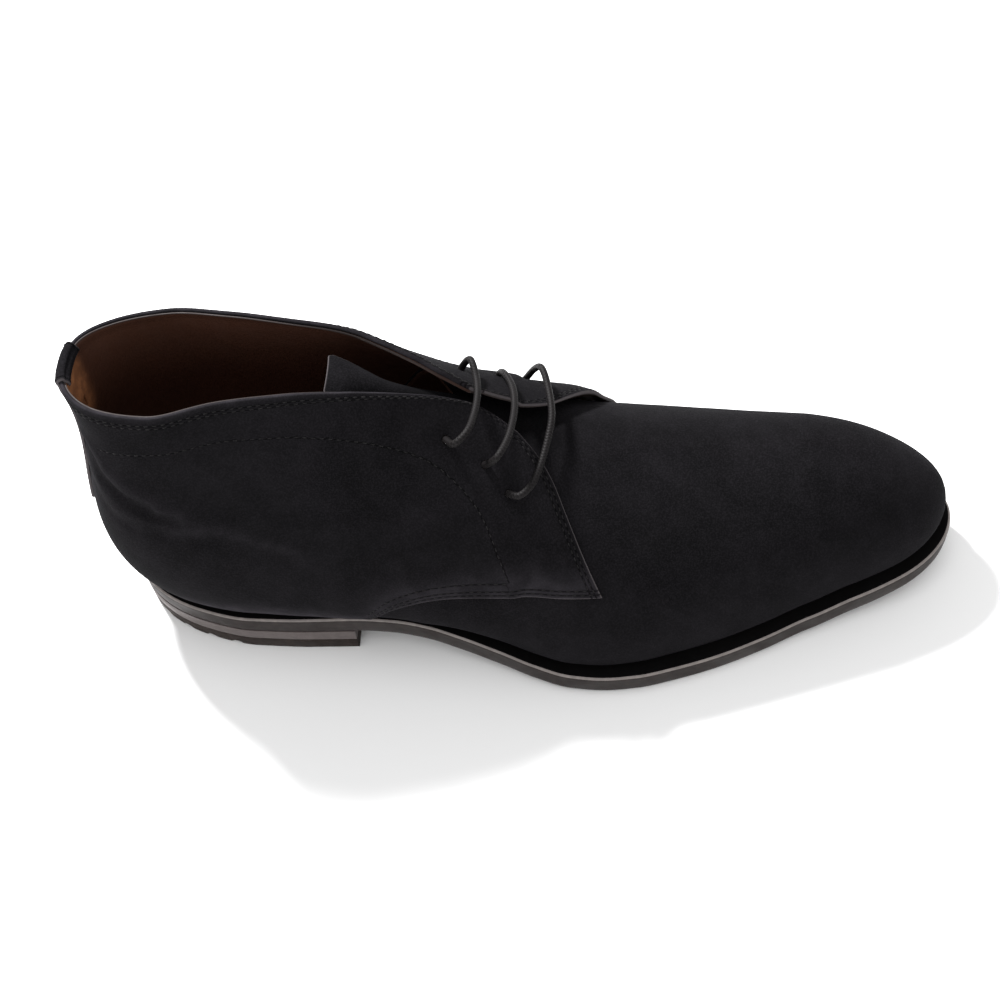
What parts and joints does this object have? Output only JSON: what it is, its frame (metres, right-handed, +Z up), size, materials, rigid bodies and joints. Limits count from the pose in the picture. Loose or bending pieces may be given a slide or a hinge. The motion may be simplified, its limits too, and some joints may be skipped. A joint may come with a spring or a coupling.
{
  "type": "chukka boot",
  "caption": "Low ankle boot in dark suede with open-laced quarters over a plain vamp, stitched welt, leather sole and stacked heel with a rubber top piece.",
  "frame": {"origin": "bottom centre of the boot's bounding box, on the floor it stands on", "axes": "+X from heel to toe, +Y to the inner (medial) side of the right foot, +Z up"},
  "size_m": [0.311, 0.1068, 0.1279],
  "materials": {
    "suede": "matt napped suede, near-black navy",
    "lining": "smooth tan leather, worn and darkened",
    "sole_leather": "satin waxed sole edge, dark brown",
    "heel_lift": "satin stacked leather, grey brown",
    "heel_rubber": "matt rubber, dark brown",
    "lace": "thin round waxed cord, charcoal"
  },
  "bodies": {
    "root": {"outsole": "sole_leather", "welt": "sole_leather", "heel_lift": "heel_lift", "heel_top_piece": "heel_rubber", "insole": "lining", "upper": "suede", "tongue": "suede", "quarter_lateral": "suede", "quarter_medial": "suede", "back_strip": "suede", "lace_bar_1": "lace", "lace_bar_2": "lace", "lace_bar_3": "lace"}
  },
  "joints": []
}
